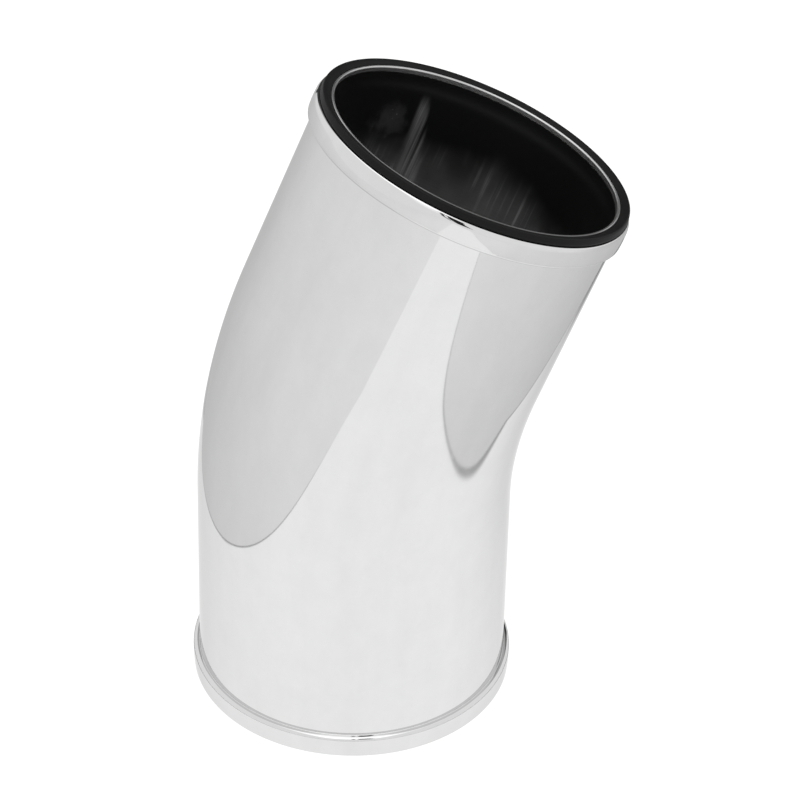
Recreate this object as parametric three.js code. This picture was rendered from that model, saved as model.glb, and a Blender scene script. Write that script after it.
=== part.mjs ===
// Flue elbow: two short straight legs joined by a smooth bend, made as a polished casing round a
// black-coated liner with an air gap between them. Millimetres, +Z up.
//
// The lower leg stands upright on its collar and the bend leans towards +X, in the XZ plane.
// Every piece is placed on one centreline, or in the frame of one of the two ends. In an end's
// frame the mouth's plane is z = 0 and +Z points out of the elbow, so what lies inside is below 0.

import * as THREE from "three";

// Overall sizes.
const MOUTH_BORE = 150; // clear diameter of the liner's mouths, the elbow's nominal size
const LOWER_LEG = 111.4; // straight length below the bend
const UPPER_LEG = 103.6; // straight length above the bend
const BEND_RADIUS = 243.5; // of the centreline
const BEND_ANGLE = THREE.MathUtils.degToRad(22.5);

// Walls.
const LINER_SHEET = 0.8;
const CASING_SHEET = 0.8;
const AIR_GAP = 3.4; // between a liner's mouth and the casing
const SEAM_GAP = 0.3; // root gap of a lengthwise weld between two pressed halves
const FIT = 0.3; // clearance between a piece and the one it seats on

// Liner.
const MOUTH_STEP = 0.8; // how much wider, in radius, the mouth is than the rest of the liner
const MOUTH_DEPTH = 4.5; // parallel part of the mouth
const SHOULDER_LENGTH = 4.5; // cone from the mouth down to the bore
const JOINT_BAND_WIDTH = 12;
const JOINT_BAND_SHEET = 0.8;

// Rounded ring on the liner's upper edge.
const LIP_WIDTH = 1.7;
const LIP_RISE = 3.4; // above the mouth's plane

// Collars, rolled to a channel section that opens towards the casing.
const COLLAR_STEP = 3.2; // how far a collar stands out from the casing
const COLLAR_HEIGHT = 11.8;
const COLLAR_SHEET = 1;
const COLLAR_EDGE = 1.2; // outer edge radius at the mouth
const LEDGE_EDGE = 0.7; // outer edge radius at the ledge

// Gasket, and the rings that carry it and close the air gap.
const GASKET_RISE = 4.8; // above the mouth's plane
const GASKET_INNER_RISE = 3.4; // of its inner edge, beside the lip
const GASKET_COVER = 0.4; // how far the bead reaches past the casing, whose end it caps
const GASKET_CREST = 0.7; // from the bead's widest line in to its crest
const GASKET_SQUEEZE = 0.4; // of the bead, when the next pipe is clamped on
const SEAT_SHEET = 0.8;
const SEAT_HEIGHT = 7;

// Strips behind the casing's seams.
const STRIP_WIDTH = 12;
const STRIP_SHEET = 0.8;

// Spring clips that hold the air gap open.
const CLIP_SHEET = 0.6;
const CLIP_WIDTH = 12;
const CLIP_FOOT = 3.5;
const CLIP_RAMP = 2;
const CLIP_CROWN = 4;
const CLIPS_PER_STATION = 3;

// Facets.
const FACETS = 48; // round every ring, a multiple of 4
const BEND_STEPS = 8;
const ARC_STEPS = 3; // along a small rounded edge
const FLAT = Math.cos(Math.PI / FACETS); // a facet's nearest distance from the axis, per radius

// Radii, from the flue gas outwards.
const mouthInner = MOUTH_BORE / 2;
const mouthOuter = mouthInner + LINER_SHEET;
const linerInner = mouthInner - MOUTH_STEP;
const linerOuter = linerInner + LINER_SHEET;
const lipMiddle = (mouthInner + mouthOuter) / 2;
const lipOuter = lipMiddle + LIP_WIDTH / 2;
const casingInner = mouthOuter + AIR_GAP;
const casingOuter = casingInner + CASING_SHEET;
const collarOuter = casingOuter + COLLAR_STEP;
const gasketOuter = casingOuter + GASKET_COVER;
const flangeBore = gasketOuter + FIT;

// Distances along the centreline, and depths in from a mouth's plane.
const bendStart = LOWER_LEG;
const bendEnd = bendStart + BEND_RADIUS * BEND_ANGLE;
const upperMouth = bendEnd + UPPER_LEG;
const seatDepth = GASKET_RISE - GASKET_SQUEEZE;
const lowerLinerDepth = LIP_RISE; // the lower edge stands on the lip of the pipe below
const upperCasingDepth = COLLAR_SHEET + FIT;
const lowerCasingDepth = GASKET_RISE + FIT; // leaves room for the gasket of the pipe below

const COLOURS = {
  polishedSteel: { color: 0xdadbdc, roughness: 0.12, metalness: 1 },
  milledSteel: { color: 0xb4b6b8, roughness: 0.35, metalness: 1 },
  blackCoating: { color: 0x141414, roughness: 0.45, metalness: 0.1 },
  blackRubber: { color: 0x1d1d1d, roughness: 0.6, metalness: 0 },
};

function named(name, geometry, colour) {
  const mesh = new THREE.Mesh(geometry, new THREE.MeshStandardMaterial(COLOURS[colour]));
  mesh.name = name;
  return mesh;
}

// ---- The centreline -----------------------------------------------------------------------

function leanAt(station) {
  return THREE.MathUtils.clamp((station - bendStart) / BEND_RADIUS, 0, BEND_ANGLE);
}

function directionAt(station) {
  const lean = leanAt(station);
  return new THREE.Vector3(Math.sin(lean), 0, Math.cos(lean));
}

function pointAt(station) {
  const lean = leanAt(station);
  const onBend = new THREE.Vector3(
    BEND_RADIUS * (1 - Math.cos(lean)),
    0,
    bendStart + BEND_RADIUS * Math.sin(lean),
  );
  const straight = station - (bendStart + BEND_RADIUS * lean);
  return onBend.addScaledVector(directionAt(station), straight);
}

// The centreline as a curve whose steps fall on the given stations.
class Centreline extends THREE.Curve {
  constructor(stations) {
    super();
    this.stations = stations;
  }

  stationAt(t) {
    const place = t * (this.stations.length - 1);
    const step = Math.min(Math.floor(place), this.stations.length - 2);
    return THREE.MathUtils.lerp(this.stations[step], this.stations[step + 1], place - step);
  }

  getPoint(t) {
    return pointAt(this.stationAt(t));
  }

  getTangent(t) {
    return directionAt(this.stationAt(t));
  }

  getUtoTmapping(u) {
    return u;
  }
}

function stationsOverBend(from, to) {
  const bend = [];
  for (let step = 0; step <= BEND_STEPS; step += 1) {
    bend.push(THREE.MathUtils.lerp(bendStart, bendEnd, step / BEND_STEPS));
  }
  return [from, ...bend.filter((station) => station > from && station < to), to];
}

// A section carried along the centreline. Its x points to the front, -Y, and its y to the inside
// of the bend, +X.
function alongCentreline(section, from, to) {
  const stations = stationsOverBend(from, to);
  return new THREE.ExtrudeGeometry(section, {
    steps: stations.length - 1,
    extrudePath: new Centreline(stations),
    bevelEnabled: false,
  });
}

function frameAt(station, turn = 0) {
  const frame = new THREE.Group();
  frame.position.copy(pointAt(station));
  frame.rotation.y = leanAt(station) + turn;
  return frame;
}

// ---- Sections -----------------------------------------------------------------------------

function arcPoints(radius, from, to, count) {
  const points = [];
  for (let step = 0; step <= count; step += 1) {
    const angle = THREE.MathUtils.lerp(from, to, step / count);
    points.push(new THREE.Vector2(radius * Math.cos(angle), radius * Math.sin(angle)));
  }
  return points;
}

// A ring turned round Z from its section, whose points run anticlockwise as (radius, height).
function turned(section) {
  const points = section.getPoints(ARC_STEPS);
  points.push(points[0].clone());
  return new THREE.LatheGeometry(points, FACETS).rotateX(Math.PI / 2);
}

function outline(points) {
  return new THREE.Shape(points.map(([radius, height]) => new THREE.Vector2(radius, height)));
}

// One pressed half of a tube, from seam to seam: side 1 is the front.
function halfShell(side, innerRadius, outerRadius, from, to) {
  const outer = arcPoints(outerRadius, -Math.PI / 2, Math.PI / 2, FACETS / 2);
  const inner = arcPoints(innerRadius, Math.PI / 2, -Math.PI / 2, FACETS / 2);
  const section = [...outer, ...inner];
  for (const point of section) {
    point.x = side * Math.max(point.x, SEAM_GAP / 2);
  }
  return alongCentreline(new THREE.Shape(section), from, to);
}

// ---- Casing -------------------------------------------------------------------------------

function casingHalf(side) {
  const lowerEdge = lowerCasingDepth;
  const upperEdge = upperMouth - upperCasingDepth;
  return halfShell(side, casingInner, casingOuter, lowerEdge, upperEdge);
}

// The strip behind one seam: side 1 is the inside of the bend.
function seamStrip(side) {
  const halfWidth = STRIP_WIDTH / 2;
  const outer = Math.sqrt((casingInner * FLAT - FIT) ** 2 - halfWidth ** 2);
  const inner = outer - STRIP_SHEET;
  const section = outline([
    [-halfWidth, side * inner],
    [halfWidth, side * inner],
    [halfWidth, side * outer],
    [-halfWidth, side * outer],
  ]);
  const endDepth = seatDepth + SEAT_HEIGHT + FIT;
  return alongCentreline(section, endDepth, upperMouth - endDepth);
}

// A collar in its end's frame: a flange at the mouth, a wall, and a ledge against the casing.
function collar() {
  const ledgeBore = casingOuter + FIT;
  const section = new THREE.Shape();
  section.moveTo(flangeBore, -COLLAR_SHEET);
  section.lineTo(collarOuter - COLLAR_SHEET, -COLLAR_SHEET);
  section.lineTo(collarOuter - COLLAR_SHEET, COLLAR_SHEET - COLLAR_HEIGHT);
  section.lineTo(ledgeBore, COLLAR_SHEET - COLLAR_HEIGHT);
  section.lineTo(ledgeBore, -COLLAR_HEIGHT);
  section.absarc(
    collarOuter - LEDGE_EDGE,
    LEDGE_EDGE - COLLAR_HEIGHT,
    LEDGE_EDGE,
    -Math.PI / 2,
    0,
  );
  section.absarc(collarOuter - COLLAR_EDGE, -COLLAR_EDGE, COLLAR_EDGE, 0, Math.PI / 2);
  section.lineTo(flangeBore, 0);
  return turned(section);
}

// ---- Liner --------------------------------------------------------------------------------

// A straight leg of the liner in its end's frame, with its mouth's edge at the given depth.
function linerLeg(edgeDepth, legLength) {
  const mouthEnd = -(edgeDepth + MOUTH_DEPTH);
  const shoulderEnd = mouthEnd - SHOULDER_LENGTH;
  const legEnd = FIT / 2 - legLength;
  return turned(
    outline([
      [mouthInner, mouthEnd],
      [linerInner, shoulderEnd],
      [linerInner, legEnd],
      [linerOuter, legEnd],
      [linerOuter, shoulderEnd],
      [mouthOuter, mouthEnd],
      [mouthOuter, -edgeDepth],
      [mouthInner, -edgeDepth],
    ]),
  );
}

function linerBendHalf(side) {
  return halfShell(side, linerInner, linerOuter, bendStart + FIT / 2, bendEnd - FIT / 2);
}

// The band round the butt joint of a leg and the bend.
function jointBand() {
  const inner = linerOuter + FIT;
  const outer = inner + JOINT_BAND_SHEET;
  const halfWidth = JOINT_BAND_WIDTH / 2;
  return turned(
    outline([
      [inner, -halfWidth],
      [outer, -halfWidth],
      [outer, halfWidth],
      [inner, halfWidth],
    ]),
  );
}

// The rounded ring that finishes the liner's upper edge.
function lipRing() {
  const halfWidth = LIP_WIDTH / 2;
  const section = new THREE.Shape();
  section.moveTo(lipMiddle - halfWidth, FIT);
  section.lineTo(lipMiddle + halfWidth, FIT);
  section.absarc(lipMiddle, LIP_RISE - halfWidth, halfWidth, 0, Math.PI);
  return turned(section);
}

// ---- Ends ---------------------------------------------------------------------------------

// The channel ring between liner and casing. Its web carries the gasket and closes the air gap.
function seatRing() {
  const inner = mouthOuter + FIT;
  const outer = casingInner - FIT;
  const web = -seatDepth;
  const skirt = web - SEAT_HEIGHT;
  return turned(
    outline([
      [inner, web],
      [inner, skirt],
      [inner + SEAT_SHEET, skirt],
      [inner + SEAT_SHEET, web - SEAT_SHEET],
      [outer - SEAT_SHEET, web - SEAT_SHEET],
      [outer - SEAT_SHEET, skirt],
      [outer, skirt],
      [outer, web],
    ]),
  );
}

// The gasket: a stem in the air gap's mouth under a bead that caps the casing's end and leans
// down towards the lip.
function gasket() {
  const inner = lipOuter + FIT;
  const stemOuter = casingInner - FIT;
  const crest = gasketOuter - GASKET_CREST;
  const widest = GASKET_RISE / 2;
  const shoulder = FIT - upperCasingDepth;
  const section = new THREE.Shape();
  section.moveTo(inner, FIT - seatDepth);
  section.lineTo(stemOuter, FIT - seatDepth);
  section.lineTo(stemOuter, shoulder);
  section.lineTo(gasketOuter, shoulder);
  section.lineTo(gasketOuter, widest);
  section.quadraticCurveTo(gasketOuter, GASKET_RISE, crest, GASKET_RISE);
  section.lineTo(inner, GASKET_INNER_RISE);
  return turned(section);
}

// ---- Spacer clips -------------------------------------------------------------------------

// A hat-shaped clip on the liner, with its crown under the casing, on the +X side.
function spacerClip() {
  const foot = linerOuter + FIT;
  const crown = Math.sqrt((casingInner * FLAT - FIT) ** 2 - (CLIP_WIDTH / 2) ** 2);
  const crownEnd = CLIP_CROWN / 2;
  const rampEnd = crownEnd + CLIP_RAMP;
  const footEnd = rampEnd + CLIP_FOOT;
  const ramp = Math.atan2(crown - foot - CLIP_SHEET, CLIP_RAMP);
  const shift = CLIP_SHEET * Math.tan(ramp / 2);
  const section = outline([
    [-footEnd, foot],
    [-rampEnd + shift, foot],
    [-crownEnd + shift, crown - CLIP_SHEET],
    [crownEnd - shift, crown - CLIP_SHEET],
    [rampEnd - shift, foot],
    [footEnd, foot],
    [footEnd, foot + CLIP_SHEET],
    [rampEnd, foot + CLIP_SHEET],
    [crownEnd, crown],
    [-crownEnd, crown],
    [-rampEnd, foot + CLIP_SHEET],
    [-footEnd, foot + CLIP_SHEET],
  ]);
  const along = new THREE.Vector3(0, 0, 1);
  const outwards = new THREE.Vector3(1, 0, 0);
  const across = new THREE.Vector3(0, 1, 0);
  return new THREE.ExtrudeGeometry(section, { depth: CLIP_WIDTH, bevelEnabled: false })
    .translate(0, 0, -CLIP_WIDTH / 2)
    .applyMatrix4(new THREE.Matrix4().makeBasis(along, outwards, across));
}

// A ring of clips, turned so that none lies behind a seam.
function clipStation(place, station) {
  const frame = frameAt(station);
  for (let index = 0; index < CLIPS_PER_STATION; index += 1) {
    const clip = named(`${place}_spacer_clip_${index + 1}`, spacerClip(), "milledSteel");
    clip.rotation.z = Math.PI / 2 + (index * 2 * Math.PI) / CLIPS_PER_STATION;
    frame.add(clip);
  }
  return frame;
}

// ---- The assembly -------------------------------------------------------------------------

function lowerEnd() {
  const end = frameAt(0, Math.PI);
  end.add(named("lower_collar", collar(), "polishedSteel"));
  end.add(named("lower_seat_ring", seatRing(), "milledSteel"));
  end.add(named("liner_lower_leg", linerLeg(lowerLinerDepth, LOWER_LEG), "blackCoating"));
  return end;
}

function upperEnd() {
  const end = frameAt(upperMouth);
  end.add(named("upper_collar", collar(), "polishedSteel"));
  end.add(named("upper_seat_ring", seatRing(), "milledSteel"));
  end.add(named("liner_upper_leg", linerLeg(0, UPPER_LEG), "blackCoating"));
  end.add(named("liner_lip_ring", lipRing(), "polishedSteel"));
  end.add(named("upper_gasket", gasket(), "blackRubber"));
  return end;
}

function jointAt(place, station) {
  const frame = frameAt(station);
  frame.add(named(`${place}_liner_joint_band`, jointBand(), "milledSteel"));
  return frame;
}

function flueElbow() {
  const elbow = new THREE.Group();
  elbow.add(lowerEnd(), upperEnd());
  elbow.add(named("liner_bend_front_half", linerBendHalf(1), "blackCoating"));
  elbow.add(named("liner_bend_back_half", linerBendHalf(-1), "blackCoating"));
  elbow.add(jointAt("lower", bendStart), jointAt("upper", bendEnd));
  elbow.add(clipStation("lower", bendStart / 2));
  elbow.add(clipStation("middle", (bendStart + bendEnd) / 2));
  elbow.add(clipStation("upper", (bendEnd + upperMouth) / 2));
  elbow.add(named("casing_front_half", casingHalf(1), "polishedSteel"));
  elbow.add(named("casing_back_half", casingHalf(-1), "polishedSteel"));
  elbow.add(named("inner_seam_strip", seamStrip(1), "milledSteel"));
  elbow.add(named("outer_seam_strip", seamStrip(-1), "milledSteel"));

  // The origin is the middle of the elbow's box, on the surface that it stands on.
  const box = new THREE.Box3().setFromObject(elbow, true);
  elbow.position.x = -(box.min.x + box.max.x) / 2;
  elbow.position.z = -box.min.z;
  return elbow;
}

export default flueElbow();
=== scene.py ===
"""Looks for the flue elbow: a polished casing round a black-coated liner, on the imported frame.

Every ring, tube and collar is an outline of (station, radius) points carried round the elbow's
centreline. A station is a distance along that line from the lower mouth; past a mouth it runs on
straight. Metres, +Z up.
"""

import math

import bpy
from mathutils import Matrix, Vector


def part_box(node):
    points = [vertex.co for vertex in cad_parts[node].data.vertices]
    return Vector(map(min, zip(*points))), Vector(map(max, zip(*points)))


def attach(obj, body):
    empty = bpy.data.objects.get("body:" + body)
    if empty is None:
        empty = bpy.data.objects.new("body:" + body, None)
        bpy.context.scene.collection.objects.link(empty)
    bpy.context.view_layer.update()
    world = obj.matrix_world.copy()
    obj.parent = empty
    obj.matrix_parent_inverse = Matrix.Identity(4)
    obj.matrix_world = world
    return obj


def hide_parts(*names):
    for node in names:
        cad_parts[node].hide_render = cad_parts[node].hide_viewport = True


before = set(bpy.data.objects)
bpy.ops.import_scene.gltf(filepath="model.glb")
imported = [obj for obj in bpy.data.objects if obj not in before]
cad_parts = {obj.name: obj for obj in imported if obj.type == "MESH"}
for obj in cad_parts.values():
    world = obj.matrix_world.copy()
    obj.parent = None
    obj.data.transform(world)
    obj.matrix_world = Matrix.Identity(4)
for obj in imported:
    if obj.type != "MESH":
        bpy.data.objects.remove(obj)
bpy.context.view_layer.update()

MM = 0.001

# Sizes of the part, as in its CAD.
MOUTH_BORE = 150 * MM
LOWER_LEG = 111.4 * MM
UPPER_LEG = 103.6 * MM
BEND_RADIUS = 243.5 * MM
BEND_ANGLE = math.radians(22.5)
SHEET = 0.8 * MM
AIR_GAP = 3.4 * MM
FIT = 0.3 * MM
MOUTH_STEP = 0.8 * MM
MOUTH_DEPTH = 4.5 * MM
SHOULDER_LENGTH = 4.5 * MM
JOINT_BAND_WIDTH = 12 * MM
LIP_WIDTH = 1.7 * MM
LIP_RISE = 3.4 * MM
COLLAR_STEP = 3.2 * MM
COLLAR_HEIGHT = 11.8 * MM
COLLAR_SHEET = 1 * MM
SEAT_HEIGHT = 7 * MM
GASKET_RISE = 4.8 * MM
GASKET_SQUEEZE = 0.4 * MM

# Where the visible shape adds to the CAD's or differs a little from it.
LIP_TOP = 3.1 * MM
SHOULDER_CURVE = 22 * MM
BARREL_STEP = 0.22 * MM  # how far a collar's wall draws in towards its ends
BARREL_CREST = 0.12 * MM  # how far its outline's middle corner stands out, before rounding
BARREL_PLACE = 0.58  # of that corner, as a share of the collar's height
BARREL_RADIUS = 50 * MM
DOME_HEIGHT = 2 * MM  # of a collar's mouth edge
UPPER_DOME = (0.95 * MM, 4 * MM)  # how far the edge draws in, and its radius
LOWER_DOME = (0.1 * MM, 2 * MM)
COLLAR_EDGE = 1.1 * MM  # where a collar's mouth edge meets its flat face
FLANGE_COVER = 0.5 * MM  # how far a flange reaches in past the casing's outside
LEDGE_EDGE = 2.3 * MM
LEDGE_FILLET = 0.35 * MM  # where the ledge meets the casing
BEAD_RISE = 4.4 * MM
BEAD_REACH = 1.5 * MM  # of the gasket's bead, out past the casing
BEAD_GAP = 0.1 * MM  # between the bead and the lip or the flange
LEDGE_GAP = 0.02 * MM  # between a collar's ledge and the casing

# The radius of an edge where sheet is cut or folded.
FINE_EDGE = 0.1 * MM
LINER_EDGE = 0.15 * MM
SMALL_EDGE = 0.2 * MM
FOLD_EDGE = 0.4 * MM

# Depth of the fine relief in a finish.
LINE_DEPTH = 0.02 * MM
GRAIN_DEPTH = 0.03 * MM

MOUTH_INNER = MOUTH_BORE / 2
MOUTH_OUTER = MOUTH_INNER + SHEET
LINER_INNER = MOUTH_INNER - MOUTH_STEP
LINER_OUTER = LINER_INNER + SHEET
LIP_MIDDLE = (MOUTH_INNER + MOUTH_OUTER) / 2
CASING_INNER = MOUTH_OUTER + AIR_GAP
CASING_OUTER = CASING_INNER + SHEET
BEAD_OUTER = CASING_OUTER + BEAD_REACH
COLLAR_OUTER = CASING_OUTER + COLLAR_STEP

BEND_START = LOWER_LEG
BEND_END = BEND_START + BEND_RADIUS * BEND_ANGLE
UPPER_MOUTH = BEND_END + UPPER_LEG
SEAT_DEPTH = GASKET_RISE - GASKET_SQUEEZE

# How finely the pieces are made.
AROUND = 256
BEND_STEPS = 48
CORNER_STEPS = 5
ROUND_STEPS = 16
SHARP_ANGLE = math.radians(40)


# ---- The centreline -----------------------------------------------------------------------

LOW_CORNER, HIGH_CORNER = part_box("lower_collar")
FOOT = Vector(((LOW_CORNER.x + HIGH_CORNER.x) / 2, (LOW_CORNER.y + HIGH_CORNER.y) / 2, 0))
ACROSS = Vector((0, 1, 0))


def lean_at(station):
    """How far the centreline has turned."""
    return min(max((station - BEND_START) / BEND_RADIUS, 0), BEND_ANGLE)


def along_at(station):
    lean = lean_at(station)
    return Vector((math.sin(lean), 0, math.cos(lean)))


def inside_at(station):
    """The direction from the centreline to the inside of the bend."""
    lean = lean_at(station)
    return Vector((math.cos(lean), 0, -math.sin(lean)))


def point_at(station):
    lean = lean_at(station)
    outwards = BEND_RADIUS * (1 - math.cos(lean))
    on_bend = Vector((outwards, 0, BEND_START + BEND_RADIUS * math.sin(lean)))
    straight = station - (BEND_START + BEND_RADIUS * lean)
    return FOOT + on_bend + straight * along_at(station)


# ---- Outlines -----------------------------------------------------------------------------


def rounded(corners):
    """An outline from (x, y, corner radius) corners, with each corner turned into an arc."""
    outline = []
    count = len(corners)
    for index, (x, y, radius) in enumerate(corners):
        here = Vector((x, y))
        if radius == 0:
            outline.append(here)
            continue
        before = (Vector(corners[index - 1][:2]) - here).normalized()
        after = (Vector(corners[(index + 1) % count][:2]) - here).normalized()
        half = before.angle(after) / 2
        centre = here + (before + after).normalized() * (radius / math.sin(half))
        start = here + before * (radius / math.tan(half)) - centre
        end = here + after * (radius / math.tan(half)) - centre
        sweep = start.angle_signed(end)
        steps = max(CORNER_STEPS, round(abs(sweep) / math.pi * ROUND_STEPS))
        for step in range(steps + 1):
            turn = Matrix.Rotation(-sweep * step / steps, 2)
            outline.append(centre + turn @ start)
    return outline


def from_mouth(end, corners):
    """Corners given as (height above a mouth's plane, radius, corner radius), as stations."""
    if end == "upper":
        return [(UPPER_MOUTH + height, radius, corner) for height, radius, corner in corners]
    return [(-height, radius, corner) for height, radius, corner in corners]


def stations_between(start, end):
    """Stations over the bend between two others, close enough for a smooth bend."""
    length = BEND_END - BEND_START
    steps = [BEND_START + length * step / BEND_STEPS for step in range(BEND_STEPS + 1)]
    return [start] + [station for station in steps if start < station < end] + [end]


# ---- Meshes -------------------------------------------------------------------------------


def carried_round(name, outline):
    """A closed outline of (station, radius) points, carried round the centreline."""
    points = []
    straightened = []
    for station, radius in outline:
        centre = point_at(station)
        inside = inside_at(station)
        for step in range(AROUND):
            angle = 2 * math.pi * step / AROUND
            points.append(centre + radius * (math.cos(angle) * inside + math.sin(angle) * ACROSS))
            straightened.append((radius * math.cos(angle), radius * math.sin(angle), station))
    faces = []
    count = len(outline)
    for ring in range(count):
        here = ring * AROUND
        there = (ring + 1) % count * AROUND
        for step in range(AROUND):
            beside = (step + 1) % AROUND
            faces.append((here + step, here + beside, there + beside, there + step))
    return solid(name, points, faces, straightened)


def solid(name, points, faces, straightened):
    """A smooth object that knows its straightened coordinates."""
    mesh = bpy.data.meshes.new(name)
    mesh.from_pydata(points, [], faces)
    mesh.attributes.new("straightened", "FLOAT_VECTOR", "POINT")
    flat = [value for point in straightened for value in point]
    mesh.attributes["straightened"].data.foreach_set("vector", flat)
    mesh.update()
    piece = linked(bpy.data.objects.new(name, mesh))
    if volume_of(mesh) < 0:
        mesh.flip_normals()
    mesh.shade_smooth()
    mesh.set_sharp_from_angle(angle=SHARP_ANGLE)
    weighted = piece.modifiers.new("even_normals", "WEIGHTED_NORMAL")
    weighted.keep_sharp = True
    weighted.weight = 100
    return piece


def linked(thing):
    """Adds an object to the scene."""
    bpy.context.scene.collection.objects.link(thing)
    return thing


def volume_of(mesh):
    """The signed volume inside a closed mesh, negative where its faces look inwards."""
    total = 0
    for face in mesh.polygons:
        total += face.center.dot(face.normal) * face.area
    return total / 3


# ---- Finishes -----------------------------------------------------------------------------


class Signal:
    """A socket's value, so that shader maths is written as expressions."""

    def __init__(self, finish, socket):
        self.finish = finish
        self.socket = socket

    def maths(self, operation, first, second=0.0):
        return self.finish.node("ShaderNodeMath", {"operation": operation}, {0: first, 1: second})

    def __add__(self, other):
        return self.maths("ADD", self, other)

    def __sub__(self, other):
        return self.maths("SUBTRACT", self, other)

    def __rsub__(self, other):
        return self.maths("SUBTRACT", other, self)

    def __mul__(self, other):
        return self.maths("MULTIPLY", self, other)

    def __truediv__(self, other):
        return self.maths("DIVIDE", self, other)

    def __pow__(self, other):
        return self.maths("POWER", self, other)

    __radd__ = __add__
    __rmul__ = __mul__

    def size(self):
        """The value without its sign."""
        return self.maths("ABSOLUTE", self)

    def clamped(self):
        return self.finish.node("ShaderNodeClamp", {}, {"Value": self})

    def smooth(self, low, high):
        """0 below low and 1 above high, with a smooth step between them."""
        settings = {"interpolation_type": "SMOOTHSTEP"}
        return self.finish.node("ShaderNodeMapRange", settings, {"Value": self, 1: low, 2: high})


class Finish:
    """A material, and the nodes that make it."""

    def __init__(self, name, world=None):
        self.material = world or bpy.data.materials.new(name)
        self.material.use_nodes = True
        self.nodes = self.material.node_tree.nodes
        self.links = self.material.node_tree.links
        self.nodes.clear()

    def node(self, kind, settings, inputs, output=0):
        """Any node, from its settings and the values or links of its sockets."""
        made = self.nodes.new(kind)
        for key, value in settings.items():
            setattr(made, key, value)
        for key, value in inputs.items():
            if isinstance(value, Signal):
                self.links.new(value.socket, made.inputs[key])
            else:
                made.inputs[key].default_value = value
        return Signal(self, made.outputs[output]) if made.outputs else None

    def parts(self, place):
        """The three numbers in a vector."""
        made = self.node("ShaderNodeSeparateXYZ", {}, {0: place}).socket.node
        return [Signal(self, output) for output in made.outputs]

    def unscaled(self):
        """Coordinates as if the elbow were straight: across the bend, sideways, and station."""
        return self.node("ShaderNodeAttribute", {"attribute_name": "straightened"}, {}, "Vector")

    def straightened(self, around, along):
        """The same, scaled round the elbow and along it."""
        inputs = {0: self.unscaled(), 1: (around, around, along)}
        return self.node("ShaderNodeVectorMath", {"operation": "MULTIPLY"}, inputs)

    def noise(self, place, scale=1.0, detail=2.0, roughness=0.5):
        inputs = {"Vector": place, "Scale": scale, "Detail": detail, "Roughness": roughness}
        return self.node("ShaderNodeTexNoise", {}, inputs, "Fac")

    def colour(self, factor, low, high):
        """A colour between two others. Sockets 6, 7 and 2 are the ones that carry colours."""
        settings = {"data_type": "RGBA"}
        return self.node("ShaderNodeMix", settings, {0: factor, 6: low, 7: high}, 2)

    def bump(self, height, distance):
        return self.node("ShaderNodeBump", {}, {"Height": height, "Distance": distance})

    def surface(self, **inputs):
        """Ends the material in one Principled surface."""
        named = {key.replace("_", " "): value for key, value in inputs.items()}
        self.end(self.node("ShaderNodeBsdfPrincipled", {}, named))
        return self.material

    def end(self, shader):
        self.node("ShaderNodeOutputMaterial", {}, {"Surface": shader})
        return self.material


def grey(value):
    """An opaque grey."""
    return (value, value, value, 1)


STEEL_TINT = grey(0.84)  # of steel seen at a grazing angle


def polished_steel(name, tone, roughness):
    """Stainless sheet polished to a mirror, a little clouded where it has been handled."""
    finish = Finish(name)
    haze = finish.noise(finish.straightened(26, 14), detail=3)
    clouds = finish.noise(finish.straightened(95, 70), detail=4, roughness=0.6)
    bands = finish.noise(finish.straightened(70, 2.5), detail=3)
    lines = finish.noise(finish.straightened(25, 2600), detail=3, roughness=0.6)
    smudge = finish.noise(finish.straightened(34, 22), detail=5, roughness=0.62).smooth(0.55, 0.8)
    waves = finish.noise(finish.straightened(11, 8), detail=1)
    mixed = haze * 0.25 + clouds * 0.4 + bands * 0.25 + lines * 0.1
    return finish.surface(
        Base_Color=finish.colour(mixed, grey(tone - 0.08), grey(tone + 0.08)),
        Metallic=1.0,
        Specular_Tint=STEEL_TINT,
        Roughness=roughness + lines * 0.02 + smudge * 0.03,
        Normal=finish.bump(lines * 0.02 + waves, LINE_DEPTH),
    )


SHADED_SIDE = (-0.32, -0.947)  # which way the lip's painted shade faces, across and sideways


def lip_steel():
    """The lip's bare metal, bright from scouring, with painted shade along a third of the way
    round.
    """
    finish = Finish("lip_polish")
    x, y, _ = finish.parts(finish.unscaled())
    # Painted shade: the colour is made darker along the third of the lip that faces the side given
    # above; the clouds and lines are the metal's own tone.
    painted_shade = ((x * SHADED_SIDE[0] + y * SHADED_SIDE[1]) / LIP_MIDDLE).smooth(0.35, 0.65)
    clouds = finish.noise(finish.straightened(95, 70), detail=4, roughness=0.6)
    lines = finish.noise(finish.straightened(25, 2600), detail=3, roughness=0.6)
    tone_and_painted_shade = (1 - painted_shade) * (0.75 + clouds * 0.3) + (lines + clouds - 1) * 0.1
    return finish.surface(
        Base_Color=finish.colour(tone_and_painted_shade.clamped(), grey(0.2), grey(0.7)),
        Metallic=1.0,
        Specular_Tint=STEEL_TINT,
        Roughness=0.34 + lines * 0.03,
        Normal=finish.bump(lines, LINE_DEPTH),
    )


def brushed_steel(name, tone, roughness):
    """Mill-finish stainless, left as rolled, for the pieces inside."""
    finish = Finish(name)
    place = finish.node("ShaderNodeTexCoord", {}, {}, "Object")
    grain = finish.noise(place, scale=900, detail=4, roughness=0.7)
    cloud = finish.noise(place, scale=45, detail=3)
    shine = finish.colour(cloud * 0.6 + grain * 0.4, grey(tone - 0.08), grey(tone + 0.06))
    return finish.surface(
        Base_Color=shine,
        Metallic=1.0,
        Roughness=roughness + grain * 0.12,
        Normal=finish.bump(grain, GRAIN_DEPTH),
    )


# Where a long scuff starts, and where a painted lit patch lies on the far wall, by the angle round
# the liner and the depth from its upper mouth.
SCUFF_ANGLE = 1.53
SCUFF_START = 0.013
LIT_PATCH_ANGLE = 1.74
LIT_PATCH_SPREAD = 0.16
LIT_PATCH_DEPTH = 0.027
LIT_PATCH_HEIGHT = 0.012


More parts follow.
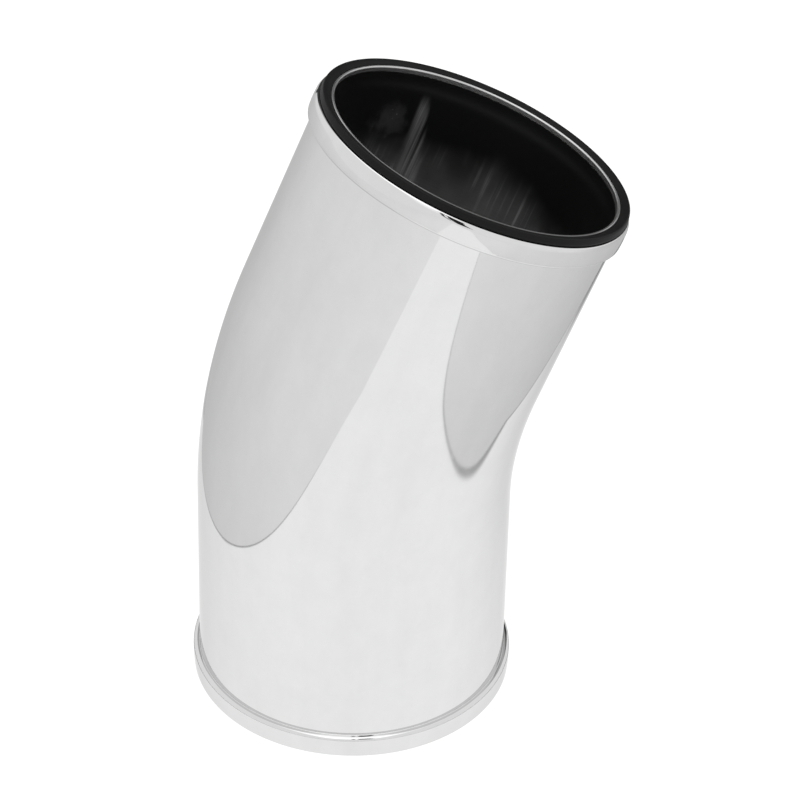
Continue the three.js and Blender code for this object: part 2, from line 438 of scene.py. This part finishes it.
def black_coating():
    """Baked black paint inside the liner, scuffed lengthwise, with painted light: a greyer glow
    some way down the bore and a lit patch on the far wall.
    """
    finish = Finish("liner_coating")
    x, y, station = finish.parts(finish.unscaled())
    around = y.maths("ARCTAN2", y, x)
    depth = UPPER_MOUTH - station
    streaks = finish.noise(finish.straightened(420, 7), detail=4, roughness=0.6)
    fine = finish.noise(finish.straightened(30, 1700), detail=3, roughness=0.6)
    patches = finish.noise(finish.straightened(30, 22), detail=3)
    # Painted glow: the coating is made greyer a few centimetres down the bore and fades again
    # deeper in, standing in for light falling into the bore.
    painted_glow = (depth + patches * 0.03 - 0.015).smooth(0.03, 0.07)
    painted_glow = painted_glow * (1 - depth.smooth(0.08, 0.17) * 0.7)
    scuffs = streaks.smooth(0.5, 0.68) * patches.smooth(0.45, 0.62) * depth.smooth(0.026, 0.045)
    path = around - SCUFF_ANGLE + (depth - SCUFF_START) * 2.2
    width = depth * 1.5 + 0.03
    long_scuff = (1 - (path.size() / width).smooth(0.2, 1)) * depth.smooth(0.008, 0.02)
    long_scuff = long_scuff * (1 - depth.smooth(0.05, 0.08)) * streaks.smooth(0.35, 0.62)
    # Painted light: a ragged pale patch on the far wall, with bright specks in it.
    painted_lit_patch = ((around - LIT_PATCH_ANGLE) / LIT_PATCH_SPREAD) ** 2
    painted_lit_patch = painted_lit_patch + ((depth - LIT_PATCH_DEPTH) / LIT_PATCH_HEIGHT) ** 2
    ragged = finish.noise(finish.straightened(140, 110), detail=4, roughness=0.65)
    painted_lit_patch = (1 - (painted_lit_patch + (ragged - 0.5) * 3).smooth(0, 1)) * ragged
    specks = finish.noise(finish.straightened(520, 520), detail=1).smooth(0.72, 0.78) * painted_lit_patch
    # The coating's greyness: painted light (the glow and the patch) together with the scuffs,
    # which show more where the glow lies.
    haze = painted_glow * (0.5 + patches * 0.5 + fine * 0.35) * 0.7 + painted_lit_patch * 0.25
    haze = haze + scuffs * (0.12 + painted_glow * 0.7) + long_scuff * 0.7 + specks
    peel = finish.noise(finish.straightened(700, 700), detail=2)
    return finish.surface(
        Base_Color=finish.colour(haze.clamped(), grey(0.004), grey(0.24)),
        Metallic=0.0,
        Specular_IOR_Level=0.32,
        Roughness=0.34 + haze * 0.2 + patches * 0.06,
        Normal=finish.bump(peel * 0.5 + streaks * 0.5, GRAIN_DEPTH),
    )


def black_rubber():
    """Moulded black sealing rubber, with a faint bloom."""
    finish = Finish("gasket_rubber")
    bloom = finish.noise(finish.straightened(60, 60), detail=4)
    pores = finish.noise(finish.straightened(1500, 1500), detail=2)
    return finish.surface(
        Base_Color=finish.colour(bloom, grey(0.004), grey(0.01)),
        Specular_IOR_Level=0.14,
        Roughness=0.4 + bloom * 0.14,
        Normal=finish.bump(pores, GRAIN_DEPTH),
    )


CASING_POLISH = polished_steel("casing_polish", tone=0.79, roughness=0.03)
COLLAR_POLISH = polished_steel("collar_polish", tone=0.78, roughness=0.05)
LIP_POLISH = lip_steel()
LINER_COATING = black_coating()
GASKET_RUBBER = black_rubber()
INNER_STEEL = brushed_steel("inner_steel", tone=0.6, roughness=0.28)


def fitted(piece, material, slot, *replaced):
    """Gives a piece its finish and puts it in the place of CAD nodes."""
    piece.data.materials.append(material)
    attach(piece, "root")
    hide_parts(*replaced)
    return piece


# ---- Casing and collars -------------------------------------------------------------------


def casing():
    """Both halves as one, since their seams are welded and polished away."""
    start = GASKET_RISE + FIT
    end = UPPER_MOUTH - COLLAR_SHEET - FIT
    stations = stations_between(start, end)
    outside = [(station, CASING_OUTER) for station in stations]
    inside = [(station, CASING_INNER) for station in reversed(stations)]
    piece = carried_round("casing", outside + inside)
    return fitted(piece, CASING_POLISH, "casing_polish", "casing_front_half", "casing_back_half")


def collar(end, dome_step, dome):
    """A flange at the mouth, a barrelled wall, and a ledge, rolled from one strip."""
    wall_inside = COLLAR_OUTER - COLLAR_SHEET
    touching = CASING_OUTER + LEDGE_GAP
    edge = SMALL_EDGE
    flange_bore = CASING_OUTER - FLANGE_COVER
    ends = COLLAR_OUTER - BARREL_STEP
    corners = [
        (-COLLAR_SHEET, flange_bore, edge),
        (-COLLAR_SHEET, wall_inside - dome_step, edge),
        (-COLLAR_SHEET - DOME_HEIGHT, wall_inside, edge),
        (COLLAR_SHEET - COLLAR_HEIGHT, wall_inside, FOLD_EDGE),
        (COLLAR_SHEET - COLLAR_HEIGHT, touching, edge),
        (-COLLAR_HEIGHT - LEDGE_FILLET, touching, 0),
        (-COLLAR_HEIGHT, touching + FINE_EDGE, LEDGE_FILLET * 0.8),
        (-COLLAR_HEIGHT, ends, LEDGE_EDGE),
        (-COLLAR_HEIGHT * BARREL_PLACE, COLLAR_OUTER + BARREL_CREST, BARREL_RADIUS),
        (-DOME_HEIGHT, ends, dome),
        (0, ends - dome_step, COLLAR_EDGE),
        (0, flange_bore, edge),
    ]
    piece = carried_round(end + "_collar_ring", rounded(from_mouth(end, corners)))
    return fitted(piece, COLLAR_POLISH, "collar_polish", end + "_collar")


# ---- Liner --------------------------------------------------------------------------------


def liner_leg(end, edge_depth, length):
    """A straight leg with a wider mouth, which a soft shoulder brings down to the bore."""
    mouth_end = -(edge_depth + MOUTH_DEPTH)
    shoulder_end = mouth_end - SHOULDER_LENGTH
    leg_end = FIT / 2 - length
    edge = LINER_EDGE
    corners = [
        (mouth_end, MOUTH_INNER, SHOULDER_CURVE),
        (shoulder_end, LINER_INNER, SHOULDER_CURVE),
        (leg_end, LINER_INNER, edge),
        (leg_end, LINER_OUTER, edge),
        (shoulder_end, LINER_OUTER, SHOULDER_CURVE),
        (mouth_end, MOUTH_OUTER, SHOULDER_CURVE),
        (-edge_depth, MOUTH_OUTER, edge),
        (-edge_depth, MOUTH_INNER, edge),
    ]
    piece = carried_round(end + "_liner", rounded(from_mouth(end, corners)))
    return fitted(piece, LINER_COATING, "liner_coating", f"liner_{end}_leg")


def liner_bend():
    """Both halves as one, like the casing's."""
    stations = stations_between(BEND_START + FIT / 2, BEND_END - FIT / 2)
    outside = [(station, LINER_OUTER) for station in stations]
    inside = [(station, LINER_INNER) for station in reversed(stations)]
    piece = carried_round("bend_liner", outside + inside)
    halves = ("liner_bend_front_half", "liner_bend_back_half")
    return fitted(piece, LINER_COATING, "liner_coating", *halves)


def joint_band(place, station):
    """A band round the butt joint between a leg of the liner and its bend."""
    inner = LINER_OUTER + FIT
    outer = inner + SHEET
    half = JOINT_BAND_WIDTH / 2
    edge = SMALL_EDGE
    corners = [
        (station - half, inner, edge),
        (station - half, outer, edge),
        (station + half, outer, edge),
        (station + half, inner, edge),
    ]
    piece = carried_round(place + "_joint_band", rounded(corners))
    return fitted(piece, INNER_STEEL, "inner_steel", place + "_liner_joint_band")


def lip():
    """The rounded bright edge of the liner's upper mouth."""
    half = LIP_WIDTH / 2
    nearly_half = half * 0.98
    corners = [
        (FIT, LIP_MIDDLE - half, FINE_EDGE),
        (LIP_TOP, LIP_MIDDLE - half, nearly_half),
        (LIP_TOP, LIP_MIDDLE + half, nearly_half),
        (FIT, LIP_MIDDLE + half, FINE_EDGE),
    ]
    piece = carried_round("lip_ring", rounded(from_mouth("upper", corners)))
    return fitted(piece, LIP_POLISH, "lip_polish", "liner_lip_ring")


# ---- Gasket and seats ---------------------------------------------------------------------


def gasket():
    """Its bead swells over the flange and falls away inwards to the lip."""
    inner = LIP_MIDDLE + LIP_WIDTH / 2 + BEAD_GAP
    stem_outer = CASING_INNER - FIT
    corners = [
        (FIT - SEAT_DEPTH, inner, SMALL_EDGE),
        (FIT - SEAT_DEPTH, stem_outer, SMALL_EDGE),
        (BEAD_GAP, stem_outer, FINE_EDGE),
        (BEAD_GAP, BEAD_OUTER - 0.6 * MM, FOLD_EDGE),
        (1.4 * MM, BEAD_OUTER, 1.4 * MM),
        (BEAD_RISE, BEAD_OUTER - 0.7 * MM, 1.1 * MM),
        (BEAD_RISE - 0.5 * MM, CASING_INNER - 0.6 * MM, 1.5 * MM),
        (LIP_TOP, inner, SMALL_EDGE),
    ]
    piece = carried_round("gasket", rounded(from_mouth("upper", corners)))
    return fitted(piece, GASKET_RUBBER, "gasket_rubber", "upper_gasket")


def seat_ring(end):
    """A channel that centres the liner, closes the air gap and carries a gasket."""
    inner = MOUTH_OUTER + FIT
    outer = CASING_INNER - FIT
    skirt = -SEAT_DEPTH - SEAT_HEIGHT
    edge = SMALL_EDGE
    corners = [
        (-SEAT_DEPTH, inner, FOLD_EDGE),
        (skirt, inner, edge),
        (skirt, inner + SHEET, edge),
        (-SEAT_DEPTH - SHEET, inner + SHEET, edge),
        (-SEAT_DEPTH - SHEET, outer - SHEET, edge),
        (skirt, outer - SHEET, edge),
        (skirt, outer, edge),
        (-SEAT_DEPTH, outer, FOLD_EDGE),
    ]
    piece = carried_round(end + "_seat", rounded(from_mouth(end, corners)))
    return fitted(piece, INNER_STEEL, "inner_steel", end + "_seat_ring")


casing()
collar("lower", *LOWER_DOME)
collar("upper", *UPPER_DOME)
liner_leg("lower", LIP_RISE, LOWER_LEG)
liner_bend()
liner_leg("upper", 0, UPPER_LEG)
joint_band("lower", BEND_START)
joint_band("upper", BEND_END)
lip()
gasket()
seat_ring("lower")
seat_ring("upper")

for name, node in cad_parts.items():
    if "strip" in name or "clip" in name:
        node.data.materials.clear()
        node.data.materials.append(INNER_STEEL)


# ---- Stage --------------------------------------------------------------------------------

FLOOR_REACH = 14
SQUARE = ((-1, -1), (1, -1), (1, 1), (-1, 1))
FLOOR_WHITE = 1.24  # the floor's own light, to the eye
FLOOR_LIT = 0.7  # the share of that light in what the eye sees; the rest takes shadows
SKY_TONE = 0.87  # of the backdrop, in mirrors

# A run of white paper lies under the elbow between two greyer grounds. Each edge is a straight
# line over the floor, x = slope * y + offset.
LEFT_EDGE = (0.42, -0.2431)
RIGHT_EDGE = (0.37, 0.2200)
EDGE_SHADOW = 0.0035  # width of the dark line along an edge
CARD_LIFT = 0.0004  # of the grey grounds, above the floor

# Sheets on edge: the middle, half the width as a vector, and the two heights.
WALL = (Vector((0.61, 1.37, 0)), Vector((0.795, -0.354, 0)), 0.001, 2.2)
FIGURE_MIDDLE = Vector((-0.17, -0.53, 0))
FIGURE_ACROSS = Vector((0.954, -0.3, 0))

CAMERA_PLACE = (-0.434981, -1.385118, 1.189825)
CAMERA_HEADING = -17.348  # degrees round the vertical, from +Y
CAMERA_DROP = 35.357  # degrees that it looks down
CAMERA_ROLL = 1.470
CAMERA_LENS = 158.504
CAMERA_SENSOR = 36

ELBOW_MIDDLE = (0, 0, 0.15)


def card(name, corners, finish, camera_sees):
    """A flat sheet of the stage. Only the floor shows to the camera and lights the elbow."""
    mesh = bpy.data.meshes.new(name)
    mesh.from_pydata(corners, [], [range(len(corners))])
    mesh.materials.append(finish.material)
    piece = linked(bpy.data.objects.new(name, mesh))
    for kind in ("camera", "diffuse", "shadow"):
        setattr(piece, "visible_" + kind, camera_sees)


def stage_place(finish):
    """The place of a point of the stage, as three numbers."""
    return finish.parts(finish.node("ShaderNodeTexCoord", {}, {}, "Object"))


def beyond(x, y, edge):
    """How far a point of the floor lies to the right of an edge of the paper."""
    slope, offset = edge
    return x - y * slope - offset


def glow(finish, strength):
    """White light of a given strength."""
    return finish.node("ShaderNodeEmission", {}, {"Color": grey(1), "Strength": strength})


def floor():
    """White to the eye, with the elbow's soft shadow; metal sees the paper's lit sweep."""
    finish = Finish("studio_floor")
    seen = finish.node("ShaderNodeLightPath", {}, {}, "Is Camera Ray")
    glossy = finish.node("ShaderNodeLightPath", {}, {}, "Is Glossy Ray")
    through = finish.node("ShaderNodeLightPath", {}, {}, "Is Transmission Ray")
    mirrored = (glossy + through).clamped()
    x, y, _ = stage_place(finish)
    inwards = beyond(x, y, LEFT_EDGE)
    outwards = beyond(x, y, RIGHT_EDGE)
    # What each part of the paper loses or gains, to a mirror.
    behind = y.smooth(-0.15, 0.25) * 0.07
    far_right = inwards.smooth(0.3, 0.46) * y.smooth(-0.1, 0.35) * 0.42
    streak = (1 - inwards.smooth(0.04, 0.13)) * (1 - y.smooth(-1.0, -0.6)) * 0.07
    near_left = 1 - (y + 0.1).size().smooth(0.1, 0.5) * 0.75
    left_line = (1 - inwards.size().smooth(EDGE_SHADOW * 0.3, EDGE_SHADOW)) * near_left
    near_tip = 1 - (y + 0.13).size().smooth(0.03, 0.12)
    from_right = outwards.size() / (1 + near_tip * 0.6)
    right_line = 1 - from_right.smooth(EDGE_SHADOW * 0.3, EDGE_SHADOW)
    lines = left_line * 0.6 + right_line * (0.5 + near_tip * 0.08)
    far_left = (1 - inwards.smooth(0.12, 0.16)) * y.smooth(0.25, 0.26) * 0.3
    far_edge = (outwards + 0.05).smooth(0, 0.025) * y.smooth(0.12, 0.17) * 0.27
    sweep = (1 - behind - far_right + streak - lines - far_left - far_edge).clamped()
    light = glow(finish, seen * FLOOR_WHITE + mirrored * sweep)
    paper = finish.node("ShaderNodeBsdfDiffuse", {}, {"Color": grey(0.9)})
    shaded = 1 - mirrored - seen * FLOOR_LIT
    finish.end(finish.node("ShaderNodeMixShader", {}, {0: shaded, 1: light, 2: paper}))
    corners = [(FLOOR_REACH * a, FLOOR_REACH * b, 0) for a, b in SQUARE]
    card("floor", corners, finish, True)


def left_ground():
    """The grey ground left of the paper, darker towards the back."""
    finish = Finish("left_ground")
    x, y, _ = stage_place(finish)
    away = beyond(x, y, LEFT_EDGE) * -1
    shade = y.smooth(-0.25, 0.45) * 0.15 + y.smooth(-1.6, 0.8) * 0.11 - 0.075
    tone = 0.832 - shade / (1 + away / 0.9)
    finish.end(glow(finish, tone))
    card("left_card", run_of_ground(LEFT_EDGE, -FLOOR_REACH), finish, False)


def right_ground():
    """The grey ground right of the paper, darker towards the back and away from the edge."""
    finish = Finish("right_ground")
    x, y, _ = stage_place(finish)
    away = beyond(x, y, RIGHT_EDGE)
    finish.end(glow(finish, 0.88 - y.smooth(-1.0, 0.6) * 0.26 - away.smooth(0.1, 0.5) * 0.03))
    card("right_card", run_of_ground(RIGHT_EDGE, FLOOR_REACH), finish, False)


def run_of_ground(edge, side):
    """The corners of a sheet on the floor between one edge of the paper and the far side."""
    slope, offset = edge
    near, far = -FLOOR_REACH, FLOOR_REACH
    return [
        (slope * near + offset, near, CARD_LIFT),
        (side * 2, near, CARD_LIFT),
        (side * 2, far, CARD_LIFT),
        (slope * far + offset, far, CARD_LIFT),
    ]


def upright(middle, across, low, high):
    """The corners of a sheet that stands on edge."""
    return [
        middle - across + Vector((0, 0, low)),
        middle + across + Vector((0, 0, low)),
        middle + across + Vector((0, 0, high)),
        middle - across + Vector((0, 0, high)),
    ]


def dark_wall():
    """The unlit room behind the table."""
    finish = Finish("dark_wall")
    _, _, height = stage_place(finish)
    tone = 0.05 + height.smooth(0.9, 1.3) * 0.4 + height.smooth(1.5, 2.2) * 0.42
    finish.end(glow(finish, tone))
    card("dark_wall", upright(*WALL), finish, False)


def dark_figures():
    """The camera and its stand, which the domed edge shows as two small dark marks."""
    finish = Finish("dark_figures")
    finish.end(glow(finish, 0.02))
    for name, offset, reach, low, high in (
        ("dark_stand", 0.015, 0.013, 0.5, 0.85),
        ("dark_body", 0.105, 0.055, 0.46, 0.95),
    ):
        middle = FIGURE_MIDDLE + FIGURE_ACROSS * offset
        card(name, upright(middle, FIGURE_ACROSS * reach, low, high), finish, False)


def soft_light(height, heading, reach, tone):
    """A long light overhead for mirrors only, brightest along its middle, with no hard edge."""
    turn = math.radians(heading)
    along = Vector((math.cos(turn), math.sin(turn), 0))
    across = Vector((math.sin(turn), -math.cos(turn), 0))
    finish = Finish("soft_light")
    place = finish.node("ShaderNodeTexCoord", {}, {}, "Object")
    fall = 1
    for direction, extent in ((across, reach[0]), (along, reach[1])):
        inputs = {0: place, 1: direction}
        offset = finish.node("ShaderNodeVectorMath", {"operation": "DOT_PRODUCT"}, inputs, "Value")
        fall = (1 - (offset.size() / extent).smooth(0.35, 1)) * fall
    finish.end(glow(finish, fall * (tone - SKY_TONE) + SKY_TONE))
    middle = Vector((0, 0, height))
    side, front = across * reach[0], along * reach[1]
    corners = [middle + side * a + front * b for a, b in SQUARE]
    card("soft_light", corners, finish, False)


def lamp(name, place, size, radiance):
    """A soft box that faces the elbow, given by how bright its face is."""
    data = bpy.data.lights.new(name, "AREA")
    data.shape = "RECTANGLE"
    data.size, data.size_y = size
    data.energy = radiance * math.pi * size[0] * size[1]
    thing = linked(bpy.data.objects.new(name, data))
    direction = Vector(ELBOW_MIDDLE) - Vector(place)
    thing.location = place
    thing.rotation_euler = direction.to_track_quat("-Z", "Y").to_euler()
    thing.visible_camera = False
    thing.visible_glossy = False


def backdrop():
    """White behind everything, a little less in mirrors and less again on matt surfaces."""
    world = bpy.data.worlds.new("studio")
    bpy.context.scene.world = world
    finish = Finish("studio", world)
    matt = finish.node("ShaderNodeLightPath", {}, {}, "Is Diffuse Ray")
    glossy = finish.node("ShaderNodeLightPath", {}, {}, "Is Glossy Ray")
    strength = 1 - matt * 0.3 - glossy * (1 - SKY_TONE)
    sky = finish.node("ShaderNodeBackground", {}, {"Color": grey(1), "Strength": strength})
    finish.node("ShaderNodeOutputWorld", {}, {"Surface": sky})


def camera():
    """The view from the front and above, with a little roll."""
    data = bpy.data.cameras.new("camera")
    data.lens = CAMERA_LENS
    data.sensor_width = CAMERA_SENSOR
    thing = linked(bpy.data.objects.new("camera", data))
    place = Matrix.Translation(CAMERA_PLACE)
    heading = Matrix.Rotation(math.radians(CAMERA_HEADING), 4, "Z")
    tilt = Matrix.Rotation(math.radians(90 - CAMERA_DROP), 4, "X")
    roll = Matrix.Rotation(math.radians(CAMERA_ROLL), 4, "Z")
    thing.matrix_world = place @ heading @ tilt @ roll
    bpy.context.scene.camera = thing


floor()
left_ground()
right_ground()
dark_wall()
dark_figures()
soft_light(height=2.4, heading=72.6, reach=(1.15, 3.2), tone=1.5)
lamp("front_box", place=(-0.55, -1.9, 1.75), size=(2.4, 1.2), radiance=1.35)
lamp("top_box", place=(0.4, 0.2, 2.4), size=(1.6, 1.6), radiance=0.9)
backdrop()
camera()

bpy.context.scene.view_settings.view_transform = "Standard"
